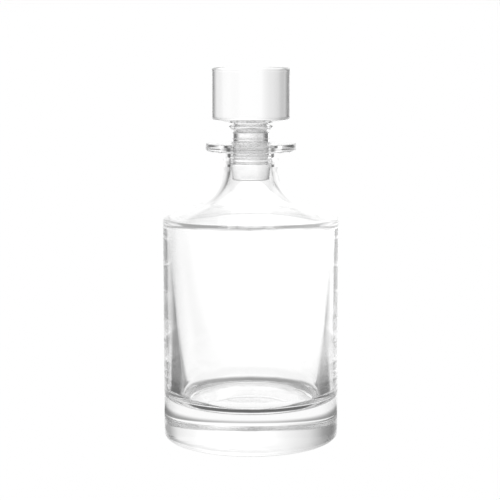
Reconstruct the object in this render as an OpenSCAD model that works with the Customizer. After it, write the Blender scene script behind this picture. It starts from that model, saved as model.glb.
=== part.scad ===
// Round glass decanter: a thick-walled bottle with a solid base, a solid glass stopper
// and the ribbed clear sleeve that seals the stopper in the neck.
// Millimetres, +Z up, origin at the middle of the circle that the foot stands on.
// Every piece is turned about Z from a half outline given as [radius, height, rounding].

/* [Body] */
// Outside diameter of the straight body
body_d = 104; // [80:1:130]
// Height at which the straight side would meet the shoulder if the edge were sharp
body_h = 131.5; // [105:0.5:170]
// Rounding of the foot's outer edge
foot_round = 3; // [1:0.5:6]
// Rounding of the shoulder's outer edge
shoulder_round = 2.5; // [1:0.5:8]
// Slope of the shoulder above the level
shoulder_slope = 20.8; // [12:0.2:30]

/* [Wall and base] */
// Wall of the body just under the shoulder
wall_top = 1.8; // [1.5:0.1:5]
// Wall of the body at the inside floor
wall_bottom = 11; // [5:0.1:14]
// Thickness of the glass in the shoulder
shoulder_t = 2.8; // [1.8:0.1:5]
// Solid glass between the foot and the edge of the inside floor
base_t = 21.8; // [12:0.1:35]
// Rise of the inside floor from its edge to its middle
floor_rise = 1; // [0.2:0.1:4]
// Rounding between the inside floor and the wall
floor_round = 9; // [3:0.5:14]
// Rounding between the wall and the shoulder on the inside
inner_shoulder_round = 4; // [2:0.5:8]
// Depth of the shallow hollow under the base
hollow_depth = 0.8; // [0.4:0.1:3]
// Width of the flat ring on which the bottle stands
foot_ring_w = 6; // [2:0.5:12]

/* [Neck and lip] */
// Outside diameter of the neck
neck_d = 32.4; // [30:0.1:40]
// Height from the line of the shoulder at the neck to the lip's top face
neck_h = 30.3; // [25:0.1:45]
// Radius of the sweep from the neck into the shoulder, outside
neck_sweep = 21.5; // [8:0.5:25]
// Radius of the sweep from the bore into the shoulder, inside
inner_sweep = 26.5; // [10:0.5:30]
// How far the ring under the lip stands out from the neck
ring_out = 0.2; // [0.1:0.1:2]
// Depth of the ring's edge below the lip's top face
ring_depth = 10.1; // [8.5:0.1:12]
// Height of the slopes above and below the ring's edge
ring_slope_h = 1.8; // [1:0.1:2.5]
// Rounding of the ring and of the groove above it
ring_round = 0.8; // [0.2:0.1:2]
// How far the groove between ring and lip lies inside the neck's surface
groove_in = 0.2; // [0.1:0.1:1]
// Diameter of the disc-shaped lip
lip_d = 53; // [44:0.5:64]
// Thickness of the lip
lip_t = 4.9; // [3:0.1:6]
// Rounding of the lip's upper edge
lip_upper_round = 0.5; // [0.3:0.1:1.4]
// Rounding of the lip's lower edge
lip_lower_round = 1.9; // [0.5:0.1:2.5]
// Fillet between the groove and the underside of the lip
lip_fillet = 0.8; // [0.3:0.1:1.2]
// Diameter of the bore that takes the stopper
bore_d = 24.4; // [20:0.1:26]
// Rounding where the bore meets the lip's top face
mouth_round = 0.8; // [0.3:0.1:1.5]

/* [Stopper] */
// Diameter of the stopper's head
head_d = 45.6; // [34:0.2:56]
// Height of the head from its lower edge to its top
head_h = 30.7; // [18:0.1:45]
// Height of the head's lower edge above the lip
head_stand = 13.9; // [10:0.1:24]
// Rounding of the head's upper edge
head_upper_round = 1.4; // [0.5:0.1:2.2]
// Rounding of the head's lower edge
head_lower_round = 1.2; // [0.5:0.1:5]
// Drop of the polished crown from the middle of the top to its edge
crown_drop = 0.5; // [0.2:0.1:1]
// Width of the sloping border of the crown
crown_border = 11; // [3:0.5:14]
// Height of the rim that the mould's parting leaves round the head's top
rim_h = 3; // [2.6:0.1:6]
// How far the rim stands out from the head's side
rim_step = 0.1; // [0.05:0.05:0.4]
// Slope of the head's underside
underside_slope = 10.9; // [2:0.1:14]
// Diameter of the flat round the shank under the head
boss_d = 26.8; // [24:0.2:32]
// Rounding of the edge of that flat
boss_round = 2; // [0.5:0.5:6]
// Clearance between the plug's upper edge and the bore, on the radius
plug_fit = 0.5; // [0.2:0.05:1]
// How much smaller the plug is at its lower end, on the radius
plug_taper = 0.8; // [0.2:0.1:2]
// Height of the plug below the sleeve
plug_h = 9.8; // [5:0.1:14]
// Rounding of the plug's lower edge
plug_end_round = 1.8; // [0.5:0.1:4]
// Rounding of the plug's upper edge
plug_edge_round = 0.4; // [0.1:0.1:0.8]

/* [Sleeve] */
// Depth of the sleeve's lower end below the lip's top face
sleeve_depth = 12; // [8:0.1:16]
// Wall of the sleeve between the ribs
sleeve_t = 0.6; // [0.4:0.05:1.2]
// Gap between the sleeve's upper end and the head
head_gap = 0.9; // [0.2:0.1:2]
// How far the flared collar stands out from the sleeve
collar_w = 2.2; // [1:0.1:5]
// Drop of the collar's top from the sleeve's upper end to its edge
collar_drop = 1.2; // [0.4:0.1:2]
// Rounding of the collar's edge
collar_round = 0.3; // [0.1:0.05:0.5]
// Height of the flare under the collar
flare_h = 3.3; // [2:0.1:4.5]
// Number of sealing ribs
rib_count = 8; // [3:1:8]
// Height of the lowest rib's middle above the sleeve's lower end
rib_start = 0.65; // [0.5:0.05:1]
// Distance from rib to rib
rib_pitch = 2; // [1.6:0.05:2.1]
// How far the ribs in the bore stand out from the sleeve
rib_h = 1.4; // [0.8:0.1:2.2]
// How far the highest rib stands out from the sleeve
rib_top_h = 0.25; // [0.15:0.05:0.6]
// How much further each next rib below it stands out, up to the bore
rib_step = 0.45; // [0.1:0.05:0.8]
// Width of a rib at its root
rib_root_w = 0.9; // [0.6:0.05:1.2]
// Width of a rib at its tip
rib_tip_w = 0.5; // [0.2:0.05:0.6]
// Running clearance between the ribs and the bore, on the radius
seal_fit = 0.05; // [0.02:0.01:0.1]
// Clearance between the sleeve and the shank, on the radius
shank_fit = 0.04; // [0.02:0.01:0.1]
// Clearance between the sleeve's lower end and the plug
end_fit = 0.1; // [0.05:0.05:0.3]

/* [Hidden] */
$fn = 180;

// How far a rounding piece reaches past its corner, so that it never ends on an edge
corner_reach = 0.4;
// Rounding radius of a gentle slope as a share of the length it has to lie in
floor_ease = 0.9;
crown_ease = 4;
flare_ease = 0.8;

body_r = body_d / 2;
neck_r = neck_d / 2;
lip_r = lip_d / 2;
bore_r = bore_d / 2;

// Heights on the shoulder, outside and inside, at a given radius
function shoulder_z(r) = body_h + (body_r - r) * tan(shoulder_slope);
function inner_shoulder_z(r) = shoulder_z(r) - shoulder_t / cos(shoulder_slope);

lip_top = shoulder_z(neck_r) + neck_h;
lip_low = lip_top - lip_t;
ring_z = lip_top - ring_depth;
groove_r = neck_r - groove_in;

// The inside floor rises over the second and third quarter of its radius
floor_r = body_r - wall_bottom;
floor_quarter = (floor_r - floor_round) / 4;
rise_angle = atan2(floor_rise, 2 * floor_quarter);
rise_sweep = floor_ease * floor_quarter / tan(rise_angle / 2);

// Ball whose cap is the hollow under the base
hollow_r = body_r - foot_round - foot_ring_w;
hollow_ball = (hollow_r * hollow_r + hollow_depth * hollow_depth) / (2 * hollow_depth);

// From the bore inwards: ribs, sleeve, shank
rib_low_r = bore_r - seal_fit;
sleeve_r = rib_low_r - rib_h;
sleeve_bore_r = sleeve_r - sleeve_t;
shank_r = sleeve_bore_r - shank_fit;

head_r = head_d / 2;
side_r = head_r - rim_step;
head_low = lip_top + head_stand;
head_top = head_low + head_h;
rim_z = head_top - rim_h;
crown_r = head_r - crown_border;
crown_sweep = crown_ease * crown_border;
boss_r = boss_d / 2;
boss_z = head_low - (side_r - boss_r) * tan(underside_slope);

sleeve_low = lip_top - sleeve_depth;
sleeve_top = boss_z - head_gap;
collar_z = sleeve_top - collar_drop;
collar_r = sleeve_r + collar_w;
flare_round = flare_ease * flare_h;
plug_high = sleeve_low - end_fit;
plug_low = plug_high - plug_h;
plug_r = bore_r - plug_fit;

// Radius of a rib, counted from the lowest: those above the bore grow smaller upwards
function rib_r(i) = min(rib_low_r, sleeve_r + rib_top_h + (rib_count - 1 - i) * rib_step);
rib_root_r = (sleeve_bore_r + sleeve_r) / 2;

// Outline helpers: the point of a corner, the way to its neighbour, and how it turns
function spot(c) = [c[0], c[1]];
function toward(c, i, step) =
    let (n = len(c), d = spot(c[(i + step + n) % n]) - spot(c[i]))
    d / norm(d);
function turn(c, i) = cross(toward(c, i, 1), toward(c, i, -1));

// What lies between a sharp corner and the arc that rounds it
module corner_piece(c, i) {
    before = toward(c, i, -1);
    after = toward(c, i, 1);
    middle = (before + after) / norm(before + after);
    half = acos(before * after) / 2;
    run = c[i][2] / tan(half);
    centre = spot(c[i]) + middle * c[i][2] / sin(half);
    difference() {
        polygon([
            spot(c[i]) - middle * corner_reach,
            spot(c[i]) + before * run,
            centre,
            spot(c[i]) + after * run
        ]);
        translate(centre) circle(r = c[i][2]);
    }
}

// Outline through the corners, counter-clockwise, each rounded by its own radius
module rounded(c) {
    corners = [for (i = [0 : len(c) - 1]) if (c[i][2] > 0) i];
    difference() {
        union() {
            polygon([for (q = c) spot(q)]);
            for (i = corners) if (turn(c, i) < 0) corner_piece(c, i);
        }
        for (i = corners) if (turn(c, i) > 0) corner_piece(c, i);
    }
}

module bottle_outside() {
    rounded([
        [0, 0, 0],
        [body_r, 0, foot_round],
        [body_r, body_h, shoulder_round],
        [neck_r, shoulder_z(neck_r), neck_sweep],
        [neck_r, ring_z - ring_slope_h, ring_round],
        [neck_r + ring_out, ring_z, ring_round],
        [groove_r, ring_z + ring_slope_h, ring_round],
        [groove_r, lip_low, lip_fillet],
        [lip_r, lip_low, lip_lower_round],
        [lip_r, lip_top, lip_upper_round],
        [0, lip_top, 0]
    ]);
}

module bottle_inside() {
    wall_r = body_r - wall_top;
    rounded([
        [0, base_t + floor_rise, 0],
        [floor_quarter, base_t + floor_rise, rise_sweep],
        [3 * floor_quarter, base_t, rise_sweep],
        [floor_r, base_t, floor_round],
        [wall_r, inner_shoulder_z(wall_r), inner_shoulder_round],
        [bore_r, inner_shoulder_z(bore_r), inner_sweep],
        [bore_r, lip_top + lip_t, 0],
        [0, lip_top + lip_t, 0]
    ]);
}

module bottle() {
    mouth = [[lip_r, lip_top, 0], [bore_r, lip_top, mouth_round], [bore_r, lip_low, 0]];
    color("azure", 0.4) rotate_extrude() difference() {
        bottle_outside();
        bottle_inside();
        corner_piece(mouth, 1);
        translate([0, hollow_depth - hollow_ball]) circle(r = hollow_ball);
    }
}

module stopper() {
    color("azure", 0.4) rotate_extrude() rounded([
        [0, plug_low, 0],
        [plug_r - plug_taper, plug_low, plug_end_round],
        [plug_r, plug_high, plug_edge_round],
        [shank_r, plug_high, 0],
        [shank_r, boss_z, 0],
        [boss_r, boss_z, boss_round],
        [side_r, head_low, head_lower_round],
        [side_r, rim_z - rim_step, rim_step],
        [head_r, rim_z, rim_step],
        [head_r, head_top - crown_drop, head_upper_round],
        [crown_r, head_top, crown_sweep],
        [0, head_top, 0]
    ]);
}

module rib(i) {
    z = sleeve_low + rib_start + i * rib_pitch;
    polygon([
        [rib_root_r, z - rib_root_w / 2],
        [rib_r(i), z - rib_tip_w / 2],
        [rib_r(i), z + rib_tip_w / 2],
        [rib_root_r, z + rib_root_w / 2]
    ]);
}

module stopper_seal() {
    color("whitesmoke", 0.5) rotate_extrude() union() {
        rounded([
            [sleeve_bore_r, sleeve_low, 0],
            [sleeve_r, sleeve_low, 0],
            [sleeve_r, collar_z - flare_h, flare_round],
            [collar_r, collar_z, collar_round],
            [sleeve_r, sleeve_top, 0],
            [sleeve_bore_r, sleeve_top, 0]
        ]);
        for (i = [0 : rib_count - 1]) rib(i);
    }
}

bottle();
stopper();
stopper_seal();
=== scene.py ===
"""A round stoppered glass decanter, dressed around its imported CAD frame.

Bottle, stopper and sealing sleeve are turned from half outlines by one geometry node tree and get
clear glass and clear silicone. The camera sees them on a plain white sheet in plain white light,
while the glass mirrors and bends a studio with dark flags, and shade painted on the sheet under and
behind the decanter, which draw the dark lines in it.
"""

import math

import bmesh
import bpy
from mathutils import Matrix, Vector


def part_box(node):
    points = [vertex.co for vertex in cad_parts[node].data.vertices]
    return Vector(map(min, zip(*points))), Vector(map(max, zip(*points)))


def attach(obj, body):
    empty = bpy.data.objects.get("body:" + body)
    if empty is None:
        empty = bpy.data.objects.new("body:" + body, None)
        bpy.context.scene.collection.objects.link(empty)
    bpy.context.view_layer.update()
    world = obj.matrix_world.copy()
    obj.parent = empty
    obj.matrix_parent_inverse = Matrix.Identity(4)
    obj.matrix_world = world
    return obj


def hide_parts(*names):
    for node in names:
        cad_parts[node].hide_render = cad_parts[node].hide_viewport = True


bl_info = {
    "name": "Stoppered decanter",
    "version": (1, 0, 0),
    "blender": (4, 5, 0),
    "location": "3D View > Sidebar > Decanter",
    "description": "Turns a glass decanter with its stopper and sealing sleeve, and sets its stage",
    "category": "Object",
}

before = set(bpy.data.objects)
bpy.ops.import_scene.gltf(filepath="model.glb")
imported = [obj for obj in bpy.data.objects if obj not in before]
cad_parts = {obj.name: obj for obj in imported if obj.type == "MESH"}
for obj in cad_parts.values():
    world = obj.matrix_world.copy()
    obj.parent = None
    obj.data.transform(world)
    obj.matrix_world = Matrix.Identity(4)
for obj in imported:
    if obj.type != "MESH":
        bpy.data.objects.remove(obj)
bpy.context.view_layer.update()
BOTTLE_LOW, BOTTLE_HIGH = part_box("bottle")
STOPPER_LOW, STOPPER_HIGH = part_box("stopper")
SEAL_LOW, SEAL_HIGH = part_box("stopper_seal")

MM = 0.001
# Steps round each piece, and the largest turn between two points of a rounding
SEGMENTS = 256
ARC_STEP = math.radians(3.0)
# Roundings smaller than this take longer steps
SMALL_ROUND = 0.45 * MM
SMALL_STEP = math.radians(9.0)
# A ring this far from each rounding keeps the straight faces beside it truly straight
SUPPORT = 0.12 * MM
# Edges that turn by more than this stay crisp
CRISP = math.radians(25.0)
# Points this close are one
WELD = 0.001 * MM


def length(name, description, default):
    """A size that a user would change, in metres."""
    return bpy.props.FloatProperty(
        name=name, description=description, default=default, min=0.0,
        precision=5, unit="LENGTH", subtype="DISTANCE",
    )


def slope(name, description, degrees):
    """An angle that a user would change."""
    return bpy.props.FloatProperty(
        name=name, description=description, default=math.radians(degrees),
        unit="ROTATION", subtype="ANGLE",
    )


def share(name, description, default, top=1.0):
    """A plain number that a user would change."""
    return bpy.props.FloatProperty(
        name=name, description=description, default=default, min=0.0, max=top, subtype="FACTOR",
    )


def linear(hex_colour):
    """An sRGB hex colour as linear red, green, blue."""
    parts = [int(hex_colour[i:i + 2], 16) / 255 for i in (1, 3, 5)]
    return [p / 12.92 if p <= 0.04045 else ((p + 0.055) / 1.055) ** 2.4 for p in parts]


def colour(name, description, hex_colour):
    """A colour that a user would change, given as sRGB hex."""
    return bpy.props.FloatVectorProperty(
        name=name, description=description, default=linear(hex_colour),
        size=3, min=0.0, max=1.0, subtype="COLOR",
    )


class BottleSizes(bpy.types.PropertyGroup):
    """Sizes of the glass bottle."""

    body_d: length("Body", "Outside diameter of the body", BOTTLE_HIGH.x - BOTTLE_LOW.x)
    body_h: length("Edge of the shoulder", "Height of the shoulder's edge, as if sharp", 131.5 * MM)
    foot_round: length("Foot rounding", "Rounding of the foot's outer edge", 3.0 * MM)
    shoulder_round: length("Shoulder rounding", "Rounding of the shoulder's edge", 2.5 * MM)
    shoulder_slope: slope("Shoulder slope", "Slope of the shoulder above the level", 20.8)
    wall_top: length("Upper wall", "Wall just under the shoulder", 1.8 * MM)
    wall_bottom: length("Lower wall", "Wall at the inside floor", 11.0 * MM)
    shoulder_t: length("Shoulder glass", "Thickness of the shoulder", 2.8 * MM)
    base_t: length("Base", "Solid glass under the edge of the inside floor", 21.8 * MM)
    floor_rise: length("Floor rise", "Rise of the inside floor to its middle", 1.0 * MM)
    floor_round: length("Floor rounding", "Rounding between floor and wall", 9.0 * MM)
    inner_round: length("Inner shoulder rounding", "Rounding of wall into shoulder", 4.0 * MM)
    hollow_depth: length("Hollow", "Depth of the hollow under the base", 0.8 * MM)
    foot_ring_w: length("Foot ring", "Width of the ring that the bottle stands on", 6.0 * MM)
    neck_d: length("Neck", "Outside diameter of the neck", 32.4 * MM)
    neck_sweep: length("Neck sweep", "Radius of the neck's sweep, outside", 21.5 * MM)
    inner_sweep: length("Inner sweep", "Radius of the neck's sweep, inside", 26.5 * MM)
    ring_out: length("Neck ring", "How far the ring under the lip stands out", 0.2 * MM)
    ring_depth: length("Ring depth", "Depth of the ring below the lip's top", 10.1 * MM)
    ring_slope_h: length("Ring slope", "Height of the slopes above and below the ring", 1.8 * MM)
    ring_round: length("Ring rounding", "Rounding of the ring and the groove", 0.8 * MM)
    groove_in: length("Groove", "How far the groove under the lip lies inside the neck", 0.2 * MM)
    lip_d: length("Lip", "Diameter of the lip", 53.0 * MM)
    lip_top: length("Lip top", "Height of the lip's top face", BOTTLE_HIGH.z)
    lip_t: length("Lip thickness", "Thickness of the lip", 4.9 * MM)
    lip_upper_round: length("Lip upper rounding", "Rounding of the lip's upper edge", 0.5 * MM)
    lip_lower_round: length("Lip lower rounding", "Rounding of the lip's lower edge", 1.9 * MM)
    lip_fillet: length("Lip fillet", "Fillet of the neck under the lip", 0.8 * MM)
    bore_d: length("Bore", "Diameter of the bore that takes the stopper", 24.4 * MM)
    mouth_round: length("Mouth rounding", "Rounding of the bore's upper edge", 0.8 * MM)
    glass: colour("Glass", "Colour of the bottle's glass", "#FFFFFF")


class StopperSizes(bpy.types.PropertyGroup):
    """Sizes of the glass stopper."""

    head_d: length("Head", "Diameter of the head", STOPPER_HIGH.x - STOPPER_LOW.x)
    head_top: length("Top", "Height of the head's top", STOPPER_HIGH.z)
    head_h: length("Head height", "Height of the head at its side", 30.7 * MM)
    head_upper_round: length("Upper rounding", "Rounding of the head's upper edge", 1.4 * MM)
    head_lower_round: length("Lower rounding", "Rounding of the head's lower edge", 1.2 * MM)
    crown_drop: length("Crown drop", "Drop of the crown to its edge", 0.5 * MM)
    crown_border: length("Crown border", "Width of the crown's sloping border", 11.0 * MM)
    rim_h: length("Rim", "Height of the rim that the mould's parting leaves", 3.0 * MM)
    rim_step: length("Rim step", "How far the rim stands out", 0.1 * MM)
    underside_slope: slope("Underside slope", "Slope of the head's underside", 10.9)
    boss_d: length("Boss", "Diameter of the flat round the shank", 26.8 * MM)
    boss_round: length("Boss rounding", "Rounding of the edge of that flat", 2.0 * MM)
    shank_d: length("Shank", "Diameter of the shank inside the sleeve", 20.22 * MM)
    plug_d: length("Plug", "Diameter of the plug's upper edge", 23.4 * MM)
    plug_end_d: length("Plug end", "Diameter of the plug's lower end", 21.8 * MM)
    plug_low: length("Plug bottom", "Height of the plug's lower end", STOPPER_LOW.z)
    plug_h: length("Plug height", "Height of the plug below the sleeve", 9.8 * MM)
    plug_end_round: length("Plug rounding", "Rounding of the plug's lower edge", 1.8 * MM)
    plug_edge_round: length("Plug edge", "Rounding of the plug's upper edge", 0.4 * MM)
    glass: colour("Glass", "Colour of the stopper's glass", "#FFFFFF")


class SealSizes(bpy.types.PropertyGroup):
    """Sizes of the clear sealing sleeve."""

    low: length("Lower end", "Height of the sleeve's lower end", SEAL_LOW.z)
    top: length("Upper end", "Height of the sleeve's upper end", SEAL_HIGH.z)
    bore_d: length("Bore", "Inside diameter of the sleeve", 20.3 * MM)
    sleeve_d: length("Sleeve", "Outside diameter between the ribs", 21.5 * MM)
    collar_d: length("Collar", "Diameter of the flared collar", 25.9 * MM)
    collar_drop: length("Collar drop", "Drop of the collar's top to its edge", 1.2 * MM)
    collar_round: length("Collar edge", "Rounding of the collar's edge", 0.3 * MM)
    flare_h: length("Flare", "Height of the flare under the collar", 3.3 * MM)
    rib_count: bpy.props.IntProperty(
        name="Ribs", description="Number of sealing ribs", default=8, min=1, max=12)
    rib_start: length("First rib", "Height of the lowest rib above the sleeve's end", 0.65 * MM)
    rib_pitch: length("Rib pitch", "Distance from rib to rib", 2.0 * MM)
    rib_d: length("Ribs in the bore", "Diameter of the ribs inside the bore", 24.3 * MM)
    rib_top_d: length("Highest rib", "Diameter of the highest rib", 22.0 * MM)
    rib_step: length("Rib step", "How much each rib below the highest stands out further", 0.45 * MM)
    rib_root_w: length("Rib root", "Width of a rib at its root", 0.9 * MM)
    rib_tip_w: length("Rib tip", "Width of a rib at its tip", 0.5 * MM)
    rib_round: length("Rib rounding", "Softness of the moulded ribs' edges", 0.2 * MM)
    silicone: colour("Silicone", "Colour of the silicone", "#F2F2F2")


class StageSettings(bpy.types.PropertyGroup):
    """Floor, light and camera."""

    sheet_reach: length("Sheet", "How far the sheet reaches each way", 6.2)
    glow: share("Glow", "Light that the sheet gives off", 1.0, 4.0)
    brightness: share("Brightness", "Strength of the studio light", 1.0, 4.0)
    print_gamma: share("Gamma", "How dark greys print, below 1 for darker", 0.72, 2.0)
    camera_back: length("Camera distance", "Level distance from the axis", 790.0 * MM)
    camera_height: length("Camera height", "Height of the camera above the sheet", 212.3 * MM)
    camera_side: length("Camera offset", "How far the camera stands left of the axis", 0.53 * MM)
    camera_pitch: slope("Camera pitch", "How far the camera looks down", 7.23)
    lens: bpy.props.FloatProperty(
        name="Lens", description="Focal length on a 36 mm sensor", default=96.5, unit="CAMERA")


def add(tree, kind, inputs=None, **settings):
    """Adds a node, sets it, and links or fills its inputs, which are given by name or number."""
    made = tree.nodes.new(kind)
    for key, value in settings.items():
        setattr(made, key, value)
    for key, value in (inputs or {}).items():
        if isinstance(value, bpy.types.NodeSocket):
            tree.links.new(value, made.inputs[key])
        else:
            made.inputs[key].default_value = value
    return made


def turning_tree():
    """Geometry nodes that turn a half outline, drawn in X and Z, about the Z axis."""
    tree = bpy.data.node_groups.new("Turned piece", "GeometryNodeTree")
    face = tree.interface
    face.new_socket("Outline", in_out="INPUT", socket_type="NodeSocketGeometry")
    sockets = {
        "Segments": face.new_socket("Segments", in_out="INPUT", socket_type="NodeSocketInt"),
        "Material": face.new_socket("Material", in_out="INPUT", socket_type="NodeSocketMaterial"),
    }
    face.new_socket("Piece", in_out="OUTPUT", socket_type="NodeSocketGeometry")
    given = add(tree, "NodeGroupInput").outputs

    # A grid with one column for each point of the outline and one row for each step round
    size = add(tree, "GeometryNodeAttributeDomainSize", {
        "Geometry": given["Outline"]}, component="MESH")
    rows = add(tree, "FunctionNodeIntegerMath", {
        0: given["Segments"], 1: 1}, operation="ADD").outputs[0]
    grid = add(tree, "GeometryNodeMeshGrid", {
        "Vertices X": size.outputs["Point Count"], "Vertices Y": rows})
    index = add(tree, "GeometryNodeInputIndex").outputs[0]
    column, row = [
        add(tree, "FunctionNodeIntegerMath", {0: index, 1: rows}, operation=operation).outputs[0]
        for operation in ("DIVIDE_FLOOR", "MODULO")]

    # Each point of the grid goes to its place on the turned surface
    spot = add(tree, "GeometryNodeSampleIndex", {
        "Geometry": given["Outline"],
        "Value": add(tree, "GeometryNodeInputPosition").outputs[0],
        "Index": column,
    }, data_type="FLOAT_VECTOR", domain="POINT")
    spot = add(tree, "ShaderNodeSeparateXYZ", {0: spot.outputs["Value"]}).outputs
    step = add(tree, "ShaderNodeMath", {
        0: math.tau, 1: given["Segments"]}, operation="DIVIDE").outputs[0]
    turn = add(tree, "ShaderNodeMath", {0: row, 1: step}, operation="MULTIPLY").outputs[0]
    flat = {}
    for axis, operation in (("X", "COSINE"), ("Y", "SINE")):
        way = add(tree, "ShaderNodeMath", {0: turn}, operation=operation).outputs[0]
        flat[axis] = add(tree, "ShaderNodeMath", {
            0: way, 1: spot["X"]}, operation="MULTIPLY").outputs[0]
    place = add(tree, "ShaderNodeCombineXYZ", {"X": flat["X"], "Y": flat["Y"], "Z": spot["Z"]})
    shaped = add(tree, "GeometryNodeSetPosition", {
        "Geometry": grid.outputs["Mesh"], "Position": place.outputs[0]})

    # The seam and the poles close, and the surface shades smooth
    closed = add(tree, "GeometryNodeMergeByDistance", {
        "Geometry": shaped.outputs[0], "Distance": WELD})
    smooth = add(tree, "GeometryNodeSetShadeSmooth", {"Geometry": closed.outputs[0]})
    real = add(tree, "GeometryNodeRealizeInstances", {"Geometry": smooth.outputs[0]})
    dressed = add(tree, "GeometryNodeSetMaterial", {
        "Geometry": real.outputs[0], "Material": given["Material"]})
    add(tree, "NodeGroupOutput", {"Piece": dressed.outputs[0]})
    return tree, sockets


def rounded(corners):
    """The outline through corners given as radius, height and rounding, as a list of points."""
    points = []
    count = len(corners)
    for i, (r, z, rounding) in enumerate(corners):
        corner = Vector((r, z))
        if rounding <= 0:
            points.append(corner)
            continue
        before = (Vector(corners[i - 1][:2]) - corner).normalized()
        after = (Vector(corners[(i + 1) % count][:2]) - corner).normalized()
        half = math.acos(max(-1.0, min(1.0, before.dot(after)))) / 2
        run = rounding / math.tan(half)
        centre = corner + (before + after).normalized() * rounding / math.sin(half)
        start, end = (corner + before * run - centre), (corner + after * run - centre)
        first = math.atan2(start.y, start.x)
        sweep = (math.atan2(end.y, end.x) - first + math.pi) % math.tau - math.pi
        longest = SMALL_STEP if rounding < SMALL_ROUND else ARC_STEP
        steps = max(2, math.ceil(abs(sweep) / longest))
        points.append(corner + before * (run + SUPPORT))
        for k in range(steps + 1):
            angle = first + sweep * k / steps
            points.append(centre + rounding * Vector((math.cos(angle), math.sin(angle))))
        points.append(corner + after * (run + SUPPORT))
    return points


def turned(name, outline, material, closed=False):
    """A piece turned from its half outline, as a plain mesh at the origin with its faces outward."""
    points = outline + outline[:1] if closed else outline
    drawn = bpy.data.meshes.new(name + "_outline")
    lines = [(i, i + 1) for i in range(len(points) - 1)]
    drawn.from_pydata([(p.x, 0.0, p.y) for p in points], lines, [])
    lathe = bpy.data.objects.new(name + "_outline", drawn)
    bpy.context.scene.collection.objects.link(lathe)
    tree, sockets = turning_tree()
    modifier = lathe.modifiers.new("Turned piece", "NODES")
    modifier.node_group = tree
    modifier[sockets["Segments"].identifier] = SEGMENTS
    modifier[sockets["Material"].identifier] = material
    shape = lathe.evaluated_get(bpy.context.evaluated_depsgraph_get())
    mesh = bpy.data.meshes.new_from_object(shape)
    mesh.name = name
    lathe.modifiers.remove(modifier)
    bpy.data.objects.remove(lathe)
    bpy.data.meshes.remove(drawn)
    bpy.data.node_groups.remove(tree)

    work = bmesh.new()
    work.from_mesh(mesh)
    bmesh.ops.recalc_face_normals(work, faces=work.faces)
    work.to_mesh(mesh)
    work.free()
    mesh.set_sharp_from_angle(angle=CRISP)
    piece = bpy.data.objects.new(name, mesh)
    bpy.context.scene.collection.objects.link(piece)
    return piece


# Rings in the shallow hollow under the base
HOLLOW_STEPS = 12
# The inside floor rises between these shares of its flat radius, through two eased bends
RISE_FROM, RISE_TO, RISE_EASE = 0.75, 0.25, 0.9
# Rounding of the crown's bend, as a multiple of its border, and of the flare, as a share of its height
CROWN_EASE = 4
FLARE_EASE = 0.8


def bottle_outline(s):
    """Half outline of the bottle, from the middle of the hollow round to the middle of the floor."""
    body_r, neck_r, lip_r = s.body_d / 2, s.neck_d / 2, s.lip_d / 2
    bore_r, wall_r, floor_r = s.bore_d / 2, body_r - s.wall_top, body_r - s.wall_bottom
    rise = math.tan(s.shoulder_slope)
    lift = s.shoulder_t / math.cos(s.shoulder_slope)
    lip_low, ring_z, groove_r = s.lip_top - s.lip_t, s.lip_top - s.ring_depth, neck_r - s.groove_in
    hollow_r = body_r - s.foot_round - s.foot_ring_w
    ball = (hollow_r ** 2 + s.hollow_depth ** 2) / (2 * s.hollow_depth)
    hollow = []
    for k in range(HOLLOW_STEPS + 1):
        r = hollow_r * k / HOLLOW_STEPS
        hollow.append((r, math.sqrt(ball ** 2 - r ** 2) + s.hollow_depth - ball, 0))
    flat_r = floor_r - s.floor_round
    rise_w = flat_r * (RISE_FROM - RISE_TO)
    dome = RISE_EASE * rise_w / 2 / math.tan(math.atan2(s.floor_rise, rise_w) / 2)
    return rounded(hollow + [
        (body_r, 0, s.foot_round),
        (body_r, s.body_h, s.shoulder_round),
        (neck_r, s.body_h + (body_r - neck_r) * rise, s.neck_sweep),
        (neck_r, ring_z - s.ring_slope_h, s.ring_round),
        (neck_r + s.ring_out, ring_z, s.ring_round),
        (groove_r, ring_z + s.ring_slope_h, s.ring_round),
        (groove_r, lip_low, s.lip_fillet),
        (lip_r, lip_low, s.lip_lower_round),
        (lip_r, s.lip_top, s.lip_upper_round),
        (bore_r, s.lip_top, s.mouth_round),
        (bore_r, s.body_h + (body_r - bore_r) * rise - lift, s.inner_sweep),
        (wall_r, s.body_h + (body_r - wall_r) * rise - lift, s.inner_round),
        (floor_r, s.base_t, s.floor_round),
        (flat_r * RISE_FROM, s.base_t, dome),
        (flat_r * RISE_TO, s.base_t + s.floor_rise, dome),
        (0, s.base_t + s.floor_rise, 0),
    ])


def stopper_outline(s, low, top):
    """Half outline of the stopper, from the middle of the plug's end up to the middle of the crown.

    The shank has a ring at the sleeve's lower and upper end.
    """
    head_r, shank_r, boss_r = s.head_d / 2, s.shank_d / 2, s.boss_d / 2
    side_r, head_low, rim_z = head_r - s.rim_step, s.head_top - s.head_h, s.head_top - s.rim_h
    plug_high = s.plug_low + s.plug_h
    under = head_low - (side_r - boss_r) * math.tan(s.underside_slope)
    return rounded([
        (0, s.plug_low, 0),
        (s.plug_end_d / 2, s.plug_low, s.plug_end_round),
        (s.plug_d / 2, plug_high, s.plug_edge_round),
        (shank_r, plug_high, 0),
        (shank_r, low, 0),
        (shank_r, top, 0),
        (shank_r, under, 0),
        (boss_r, under, s.boss_round),
        (side_r, head_low, s.head_lower_round),
        (side_r, rim_z - s.rim_step, s.rim_step),
        (head_r, rim_z, s.rim_step),
        (head_r, s.head_top - s.crown_drop, s.head_upper_round),
        (head_r - s.crown_border, s.head_top, CROWN_EASE * s.crown_border),
        (0, s.head_top, 0),
    ])


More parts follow.
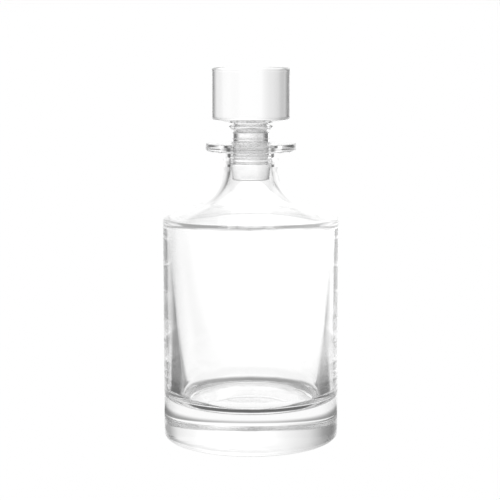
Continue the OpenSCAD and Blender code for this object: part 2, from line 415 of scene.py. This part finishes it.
def seal_outline(s):
    """Closed outline of the sleeve: up its outside over the ribs and the collar, down its bore."""
    sleeve_r, bore_r, collar_r = s.sleeve_d / 2, s.bore_d / 2, s.collar_d / 2
    root_r = (sleeve_r + bore_r) / 2
    collar_z = s.top - s.collar_drop
    corners = [(bore_r, s.low, 0), (sleeve_r, s.low, 0)]
    for i in range(s.rib_count):
        z = s.low + s.rib_start + i * s.rib_pitch
        tip_r = min(s.rib_d, s.rib_top_d + 2 * s.rib_step * (s.rib_count - 1 - i)) / 2
        reach = (sleeve_r - root_r) / (tip_r - root_r)
        foot = (s.rib_root_w + (s.rib_tip_w - s.rib_root_w) * reach) / 2
        corners += [
            (sleeve_r, z - foot, 0),
            (tip_r, z - s.rib_tip_w / 2, s.rib_round),
            (tip_r, z + s.rib_tip_w / 2, s.rib_round),
            (sleeve_r, z + foot, 0),
        ]
    corners += [
        (sleeve_r, collar_z - s.flare_h, s.flare_h * FLARE_EASE),
        (collar_r, collar_z, s.collar_round),
        (sleeve_r, s.top, 0),
        (bore_r, s.top, 0),
    ]
    return rounded(corners)


def soft_patch(tree, strength, edges):
    """A strength that fades at soft edges, each a value with where it is nothing and where full."""
    for value, nothing, full in edges:
        edge = add(tree, "ShaderNodeMapRange", {
            "Value": value, "From Min": nothing, "From Max": full}, interpolation_type="SMOOTHSTEP")
        strength = add(tree, "ShaderNodeMath", {
            0: strength, 1: edge.outputs[0]}, operation="MULTIPLY").outputs[0]
    return strength


# Waves and cords are slow and smooth
SLOW = {"Detail": 1.0, "Roughness": 0.4}
# Cords: how far apart, the heights between which they fade in, and the distances from the axis
CORD_GAP = 7.0 * MM
CORD_HEIGHTS = (52.0 * MM, 26.0 * MM)
CORD_RINGS = ((48.0 * MM, 47.0 * MM), (24.0 * MM, 34.0 * MM))
# What stands on the table is scuffed up to this height: fully low down, then less and less
SCUFF_FULL, SCUFF_END, SCUFF = 0.05 * MM, 0.25 * MM, 0.22


def clear_material(name, tint, ior, wave, wave_gap, stretch, cords=0.0):
    """Clear glass or silicone with the faint waves that its making leaves in the surface."""
    material = bpy.data.materials.new(name)
    material.use_nodes = True
    tree = material.node_tree
    tree.nodes.clear()
    spot = add(tree, "ShaderNodeTexCoord").outputs["Object"]
    drawn = add(tree, "ShaderNodeMapping", {"Vector": spot, "Scale": (1.0, 1.0, stretch)})
    waves = add(tree, "ShaderNodeTexNoise", {
        "Vector": drawn.outputs[0], "Scale": 1.0 / wave_gap, **SLOW})
    bump = add(tree, "ShaderNodeBump", {
        "Height": waves.outputs[0], "Strength": 1.0, "Distance": wave})
    height = add(tree, "ShaderNodeSeparateXYZ", {0: spot}).outputs["Z"]
    if cords:
        # Cords: streaks where the thick glass low inside has flowed
        level = add(tree, "ShaderNodeVectorMath", {
            0: spot, 1: (1.0, 1.0, 0.0)}, operation="MULTIPLY")
        out = add(tree, "ShaderNodeVectorMath", {
            0: level.outputs[0]}, operation="LENGTH").outputs["Value"]
        deep = soft_patch(tree, 1.0, [(height, *CORD_HEIGHTS), *((out, *ring) for ring in CORD_RINGS)])
        flow = add(tree, "ShaderNodeTexNoise", {"Vector": spot, "Scale": 1.0 / CORD_GAP, **SLOW})
        flow = add(tree, "ShaderNodeMath", {0: flow.outputs[0], 1: deep}, operation="MULTIPLY")
        bump = add(tree, "ShaderNodeBump", {
            "Height": flow.outputs[0], "Strength": 1.0, "Distance": cords, "Normal": bump.outputs[0]})
    scuff = add(tree, "ShaderNodeMapRange", {
        "Value": height, "From Min": SCUFF_FULL, "From Max": SCUFF_END,
        "To Min": SCUFF, "To Max": 0.0})
    shader = add(tree, "ShaderNodeBsdfPrincipled", {
        "Base Color": (*tint, 1.0), "Roughness": scuff.outputs[0],
        "IOR": ior, "Transmission Weight": 1.0, "Normal": bump.outputs[0]})
    add(tree, "ShaderNodeOutputMaterial", {"Surface": shader.outputs[0]})
    return material


class DECANTER_OT_bottle(bpy.types.Operator):
    """Turn the glass bottle"""

    bl_idname = "decanter.bottle"
    bl_label = "Bottle"

    def execute(self, context):
        # Soda-lime glass, blown in a mould and fire-polished: mirror smooth, colourless, with slow
        # upright waves on its skin, streaks low inside, and a finely scuffed ring where it stands
        s = context.scene.decanter_bottle
        glass = clear_material(
            "blown_soda_lime_glass", s.glass, ior=1.51,
            wave=0.05 * MM, wave_gap=14.0 * MM, stretch=0.3, cords=0.10 * MM)
        piece = turned("decanter_bottle", bottle_outline(s), glass)
        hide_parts("bottle")
        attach(piece, "bottle")
        return {"FINISHED"}


class DECANTER_OT_stopper(bpy.types.Operator):
    """Turn the solid glass stopper"""

    bl_idname = "decanter.stopper"
    bl_label = "Stopper"

    def execute(self, context):
        # Soda-lime glass, pressed and polished: as clear as the bottle, with fainter waves
        s, sleeve = context.scene.decanter_stopper, context.scene.decanter_seal
        glass = clear_material(
            "pressed_soda_lime_glass", s.glass, ior=1.51,
            wave=0.003 * MM, wave_gap=12.0 * MM, stretch=0.6)
        piece = turned("decanter_stopper", stopper_outline(s, sleeve.low, sleeve.top), glass)
        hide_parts("stopper")
        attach(piece, "stopper")
        return {"FINISHED"}


class DECANTER_OT_seal(bpy.types.Operator):
    """Turn the clear ribbed sleeve that seals the stopper"""

    bl_idname = "decanter.seal"
    bl_label = "Sealing sleeve"

    def execute(self, context):
        # Clear silicone, moulded: softer and a little duller than the glass beside it
        s = context.scene.decanter_seal
        silicone = clear_material(
            "moulded_clear_silicone", s.silicone, ior=1.41,
            wave=0.003 * MM, wave_gap=6.0 * MM, stretch=1.0)
        piece = turned("decanter_seal", seal_outline(s), silicone, closed=True)
        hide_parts("stopper_seal")
        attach(piece, "seal")
        return {"FINISHED"}


# The studio's light in bands: the heights above the level, in degrees, between which each takes over
# from the one before, and its brightness by how far round from the back, in degrees
STUDIO_BANDS = [
    # Level with the decanter: a bright backdrop, narrow dark flags beside it, grey cards
    ((-100, -95), [
        (-180, 0.95), (-150, 0.90), (-140, 0.40), (-130, 0.32), (-122, 0.42), (-112, 0.88),
        (-92, 0.88), (-81, 0.08), (-68, 0.04), (-60, 0.28), (-50, 0.67), (-40, 0.70), (-20, 0.88),
        (-10, 1.00), (20, 1.01), (50, 0.95), (60, 0.60), (68, 0.20), (74, 0.10), (82, 0.12),
        (92, 0.88), (112, 0.88), (122, 0.45), (132, 0.35), (140, 0.42), (150, 0.90), (180, 0.95),
    ]),
    # A little higher: the backdrop goes on, and the sides and the front are grey
    ((4, 9), [
        (-180, 0.50), (-150, 0.45), (-135, 0.42), (-120, 0.45), (-75, 0.38), (-60, 0.26),
        (-45, 0.44), (-30, 0.78), (-15, 0.95), (0, 1.16), (15, 1.17), (30, 0.98), (45, 0.92),
        (60, 0.55), (75, 0.54), (90, 0.81), (105, 0.93), (120, 0.67), (135, 0.48), (150, 0.45),
        (180, 0.50),
    ]),
    # Higher still: only the backdrop is bright
    ((16, 21), [
        (-180, 0.30), (-105, 0.28), (-75, 0.24), (-60, 0.12), (-45, 0.48), (-30, 0.73), (-15, 0.93),
        (0, 0.94), (30, 0.90), (45, 0.63), (60, 0.08), (80, 0.20), (105, 0.28), (180, 0.30),
    ]),
    # A grey gap
    ((25, 31), [
        (-180, 0.33), (-150, 0.43), (-120, 0.38), (-90, 0.17), (-60, 0.70), (-30, 0.51), (0, 0.39),
        (30, 0.66), (60, 0.97), (90, 0.28), (120, 0.38), (150, 0.49), (180, 0.33),
    ]),
    # Overhead: soft light
    ((44, 54), [
        (-180, 0.45), (-150, 0.55), (-120, 0.75), (-60, 0.97), (-30, 0.82), (0, 0.56), (30, 0.87),
        (60, 1.27), (90, 1.33), (120, 1.23), (150, 1.01), (180, 0.45),
    ]),
]
# The sheet's light in the same way, by distance in metres: even near the decanter
SHEET_BANDS = [
    ((-2.0, -1.0), [(-180, 1.00), (180, 1.00)]),
    ((0.11, 0.24), [
        (-180, 1.00), (-135, 0.90), (-105, 0.90), (-75, 0.55), (-58, 0.42), (-48, 0.80),
        (-38, 1.00), (-15, 1.00), (5, 1.30), (42, 1.35), (52, 1.00), (62, 0.60), (75, 0.55),
        (105, 0.90), (135, 0.90), (180, 1.00),
    ]),
]
# Flags on the sheet, and a shadow painted on it just behind the decanter, none of which the camera itself
# sees, each with soft edges: from where to where round, in degrees, from where to where outward, in
# metres, and how dark
FLAGS_AND_PAINTED_SHADOW = [
    ((-92, -72), (-52, -42), (0.072, 0.092), (0.12, 0.24), 0.64),
    ((46, 56), (76, 96), (0.068, 0.090), (0.11, 0.18), 0.50),
    ((-86, -70), (-54, -44), (0.074, 0.090), (0.100, 0.125), 0.45),
    ((48, 58), (72, 90), (0.070, 0.090), (0.100, 0.125), 0.45),
    ((-118, -100), (-80, -66), (0.056, 0.064), (0.085, 0.100), 0.50),
    ((66, 80), (100, 118), (0.056, 0.064), (0.085, 0.100), 0.35),
    # Painted shadow, not a flag: the sheet is darker in a ring just behind the decanter's foot, where its
    # shade would fall
    ((-66, -40), (40, 66), (0.050, 0.053), (0.060, 0.072), 0.60),
    ((-70, -52), (-46, -24), (1.6, 2.4), (5.0, 6.0), 0.75),
    ((24, 46), (52, 70), (1.6, 2.4), (5.0, 6.0), 0.75),
]


# Shade under the front of the base: how dark, between which depths to the front, in metres, and
# between which distances outward
BASE_SHADE = 0.8
BASE_SHADE_FRONT = (0.0, -0.014)
BASE_SHADE_RINGS = ((0.026, 0.034), (0.051, 0.046))
# The sheet lies just under the foot, and fades out far off, so that no edge or horizon shows in the glass
SHEET_GAP = 0.3 * MM
SHEET_FADE = (4.5, 6.0)
SENSOR_MM = 36.0
# How often light is followed through walls of glass, and through the faded sheet
BOUNCES = 64
FADED_BOUNCES = 32


def banded_light(tree, turn, across, bands):
    """Light by direction round the decanter, in bands that take over softly along another value."""
    part = add(tree, "ShaderNodeMapRange", {
        "Value": turn, "From Min": -math.pi, "From Max": math.pi}).outputs[0]
    light = 0.0
    for reach, stops in bands:
        ramp = add(tree, "ShaderNodeValToRGB", {"Fac": part})
        points = ramp.color_ramp.elements
        while len(points) > 1:
            points.remove(points[-1])
        for k, (degrees, level) in enumerate(stops):
            at = (degrees + 180) / 360
            point = points[0] if k == 0 else points.new(at)
            point.position = at
            point.color = (level, level, level, 1.0)
        light = add(tree, "ShaderNodeMix", {
            "Factor": soft_patch(tree, 1.0, [(across, *reach)]), "A": light, "B": ramp.outputs["Color"],
        }, data_type="FLOAT").outputs[0]
    return light


def sheet_material(s):
    """A sheet of opal acrylic, lit from below: white to the camera, with flags, and shade painted under
    and behind the decanter, for the glass.
    """
    opal = bpy.data.materials.new("lit_opal_acrylic")
    opal.use_nodes = True
    tree = opal.node_tree
    tree.nodes.clear()
    spot = add(tree, "ShaderNodeTexCoord").outputs["Object"]
    far = add(tree, "ShaderNodeVectorMath", {0: spot}, operation="LENGTH").outputs["Value"]
    flat = add(tree, "ShaderNodeSeparateXYZ", {0: spot}).outputs
    turn = add(tree, "ShaderNodeMath", {0: flat["X"], 1: flat["Y"]}, operation="ARCTAN2").outputs[0]
    glow = banded_light(tree, turn, far, SHEET_BANDS)
    shades = [(BASE_SHADE, [
        (flat["Y"], *BASE_SHADE_FRONT), *((far, *ring) for ring in BASE_SHADE_RINGS)])]
    for begin, end, near, away, dark in FLAGS_AND_PAINTED_SHADOW:
        shades.append((dark, [
            (turn, *map(math.radians, begin)), (turn, *map(math.radians, reversed(end))),
            (far, *near), (far, *reversed(away))]))
    for dark, edges in shades:
        left = add(tree, "ShaderNodeMath", {
            0: 1.0, 1: soft_patch(tree, dark, edges)}, operation="SUBTRACT").outputs[0]
        glow = add(tree, "ShaderNodeMath", {0: glow, 1: left}, operation="MULTIPLY").outputs[0]
    seen = add(tree, "ShaderNodeLightPath").outputs["Is Camera Ray"]
    glow = add(tree, "ShaderNodeMix", {
        "Factor": seen, "A": glow, "B": s.glow}, data_type="FLOAT").outputs[0]
    shader = add(tree, "ShaderNodeEmission", {"Strength": glow})
    through = add(tree, "ShaderNodeBsdfTransparent")
    both = add(tree, "ShaderNodeMixShader", {
        0: soft_patch(tree, 1.0, [(far, *SHEET_FADE)]), 1: shader.outputs[0], 2: through.outputs[0]})
    add(tree, "ShaderNodeOutputMaterial", {"Surface": both.outputs[0]})
    return opal


def studio_world(s):
    """Plain white round the decanter, with the backdrop, cards and flags that the glass mirrors."""
    world = bpy.data.worlds.new("studio")
    world.use_nodes = True
    tree = world.node_tree
    tree.nodes.clear()
    way = add(tree, "ShaderNodeTexCoord").outputs["Generated"]
    way = add(tree, "ShaderNodeSeparateXYZ", {0: way}).outputs
    turn = add(tree, "ShaderNodeMath", {0: way["X"], 1: way["Y"]}, operation="ARCTAN2").outputs[0]
    up = add(tree, "ShaderNodeMath", {0: way["Z"]}, operation="ARCSINE").outputs[0]
    light = banded_light(tree, turn, up, [
        (tuple(map(math.radians, reach)), stops) for reach, stops in STUDIO_BANDS])
    seen = add(tree, "ShaderNodeLightPath").outputs["Is Camera Ray"]
    light = add(tree, "ShaderNodeMix", {
        "Factor": seen, "A": light, "B": 1.0}, data_type="FLOAT").outputs[0]
    glow = add(tree, "ShaderNodeBackground", {"Color": light, "Strength": s.brightness})
    add(tree, "ShaderNodeOutputWorld", {"Surface": glow.outputs[0]})
    return world


class DECANTER_OT_stage(bpy.types.Operator):
    """Lay the sheet, light the studio and place the camera"""

    bl_idname = "decanter.stage"
    bl_label = "Stage"

    def execute(self, context):
        scene, s = context.scene, context.scene.decanter_stage
        sheet = bpy.data.meshes.new("sheet")
        reach = s.sheet_reach
        corners = [(-reach, -reach, 0), (reach, -reach, 0), (reach, reach, 0), (-reach, reach, 0)]
        sheet.from_pydata(corners, [], [(0, 1, 2, 3)])
        sheet.materials.append(sheet_material(s))
        floor = bpy.data.objects.new("sheet", sheet)
        floor.location.z = -SHEET_GAP
        scene.collection.objects.link(floor)
        scene.world = studio_world(s)

        data = bpy.data.cameras.new("camera")
        data.lens = s.lens
        data.sensor_width = SENSOR_MM
        camera = bpy.data.objects.new("camera", data)
        camera.location = (-s.camera_side, -s.camera_back, s.camera_height)
        camera.rotation_euler = (math.pi / 2 - s.camera_pitch, 0.0, 0.0)
        scene.collection.objects.link(camera)
        scene.camera = camera

        # White stays white, greys print a little darker, and light is followed through every wall
        scene.view_settings.view_transform = "Standard"
        scene.view_settings.gamma = s.print_gamma
        scene.cycles.max_bounces = BOUNCES
        scene.cycles.transmission_bounces = BOUNCES
        scene.cycles.glossy_bounces = BOUNCES
        scene.cycles.transparent_max_bounces = FADED_BOUNCES
        scene.cycles.use_denoising = True
        scene.cycles.denoising_input_passes = "RGB"
        return {"FINISHED"}


class DECANTER_PT_panel(bpy.types.Panel):
    """The steps that build the decanter"""

    bl_idname = "DECANTER_PT_panel"
    bl_label = "Decanter"
    bl_space_type = "VIEW_3D"
    bl_region_type = "UI"
    bl_category = "Decanter"

    def draw(self, context):
        for step in STEPS:
            self.layout.operator(step.bl_idname)
        for group in SETTINGS:
            box = self.layout.box()
            for key in SETTINGS[group].__annotations__:
                box.prop(getattr(context.scene, group), key)


SETTINGS = {
    "decanter_bottle": BottleSizes,
    "decanter_stopper": StopperSizes,
    "decanter_seal": SealSizes,
    "decanter_stage": StageSettings,
}
STEPS = [DECANTER_OT_bottle, DECANTER_OT_stopper, DECANTER_OT_seal, DECANTER_OT_stage]


def register():
    for kind in [*SETTINGS.values(), *STEPS, DECANTER_PT_panel]:
        bpy.utils.register_class(kind)
    for group, kind in SETTINGS.items():
        setattr(bpy.types.Scene, group, bpy.props.PointerProperty(type=kind))


def unregister():
    for group in SETTINGS:
        delattr(bpy.types.Scene, group)
    for kind in reversed([*SETTINGS.values(), *STEPS, DECANTER_PT_panel]):
        bpy.utils.unregister_class(kind)


def main():
    register()
    bpy.ops.decanter.bottle()
    bpy.ops.decanter.stopper()
    bpy.ops.decanter.seal()
    bpy.ops.decanter.stage()


if __name__ == "__main__":
    main()
